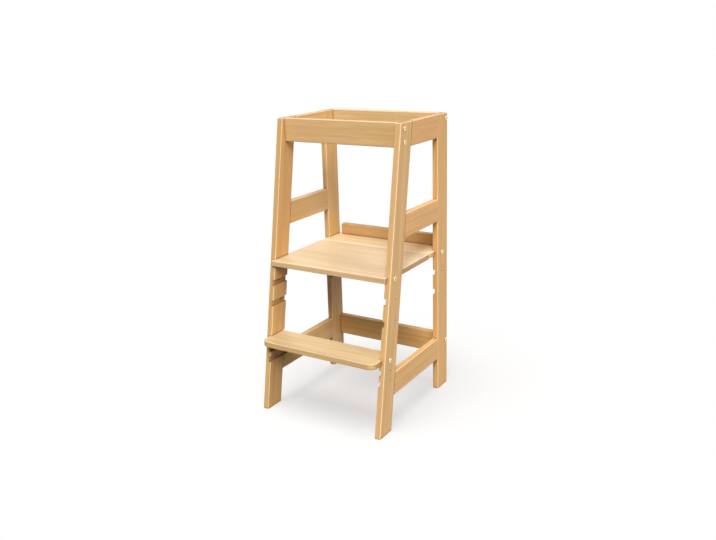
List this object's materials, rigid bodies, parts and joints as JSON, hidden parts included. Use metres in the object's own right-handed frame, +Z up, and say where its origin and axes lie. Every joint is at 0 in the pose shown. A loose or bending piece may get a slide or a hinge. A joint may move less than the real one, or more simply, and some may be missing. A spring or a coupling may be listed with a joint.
{
  "type": "toddler kitchen helper stool",
  "caption": "Wooden learning tower: grooved side frames carry a standing platform with a heel stop and a step, both set in height by bolts, with rails all round and an open top.",
  "frame": {"origin": "on the floor, midway between the side frames and midway between the front and rear feet's outer edges", "axes": "+X to the right seen from the front, where the step is; +Y to the back; +Z up"},
  "size_m": [0.4328, 0.464, 0.9],
  "materials": {
    "beech_frame": "satin clear lacquer",
    "beech_boards": "satin clear lacquer",
    "zinc_steel": "satin zinc plate",
    "insert_brass": "plain"
  },
  "bodies": {
    "frame": {"front_leg_left": "beech_frame", "front_leg_right": "beech_frame", "front_rail_bolts": "zinc_steel", "front_top_rail": "beech_frame", "heel_stop": "beech_boards", "lower_side_rail_left": "beech_frame", "lower_side_rail_right": "beech_frame", "middle_side_rail_left": "beech_frame", "middle_side_rail_right": "beech_frame", "platform_board": "beech_boards", "platform_inserts": "insert_brass", "platform_rear_board": "beech_boards", "platform_tongue": "beech_boards", "rear_leg_left": "beech_frame", "rear_leg_right": "beech_frame", "rear_lower_rail": "beech_frame", "rear_rail_bolts": "zinc_steel", "rear_top_rail": "beech_frame", "step_board": "beech_boards", "step_inserts": "insert_brass", "top_side_rail_left": "beech_frame", "top_side_rail_right": "beech_frame"},
    "platform_front_bolt_left": {"platform_front_bolt_left": "zinc_steel"},
    "platform_front_bolt_right": {"platform_front_bolt_right": "zinc_steel"},
    "platform_rear_bolt_left": {"platform_rear_bolt_left": "zinc_steel"},
    "platform_rear_bolt_right": {"platform_rear_bolt_right": "zinc_steel"},
    "step_bolt_left": {"step_bolt_left": "zinc_steel"},
    "step_bolt_right": {"step_bolt_right": "zinc_steel"}
  },
  "joints": [
    {"name": "platform_front_bolt_left_withdraw", "type": "slide", "parent": "frame", "child": "platform_front_bolt_left", "axis": [-1, 0, 0], "range_m": [0, 0.035]},
    {"name": "platform_front_bolt_right_withdraw", "type": "slide", "parent": "frame", "child": "platform_front_bolt_right", "axis": [1, 0, 0], "range_m": [0, 0.035]},
    {"name": "platform_rear_bolt_left_withdraw", "type": "slide", "parent": "frame", "child": "platform_rear_bolt_left", "axis": [-1, 0, 0], "range_m": [0, 0.035]},
    {"name": "platform_rear_bolt_right_withdraw", "type": "slide", "parent": "frame", "child": "platform_rear_bolt_right", "axis": [1, 0, 0], "range_m": [0, 0.035]},
    {"name": "step_bolt_left_withdraw", "type": "slide", "parent": "frame", "child": "step_bolt_left", "axis": [-1, 0, 0], "range_m": [0, 0.035]},
    {"name": "step_bolt_right_withdraw", "type": "slide", "parent": "frame", "child": "step_bolt_right", "axis": [1, 0, 0], "range_m": [0, 0.035]}
  ]
}
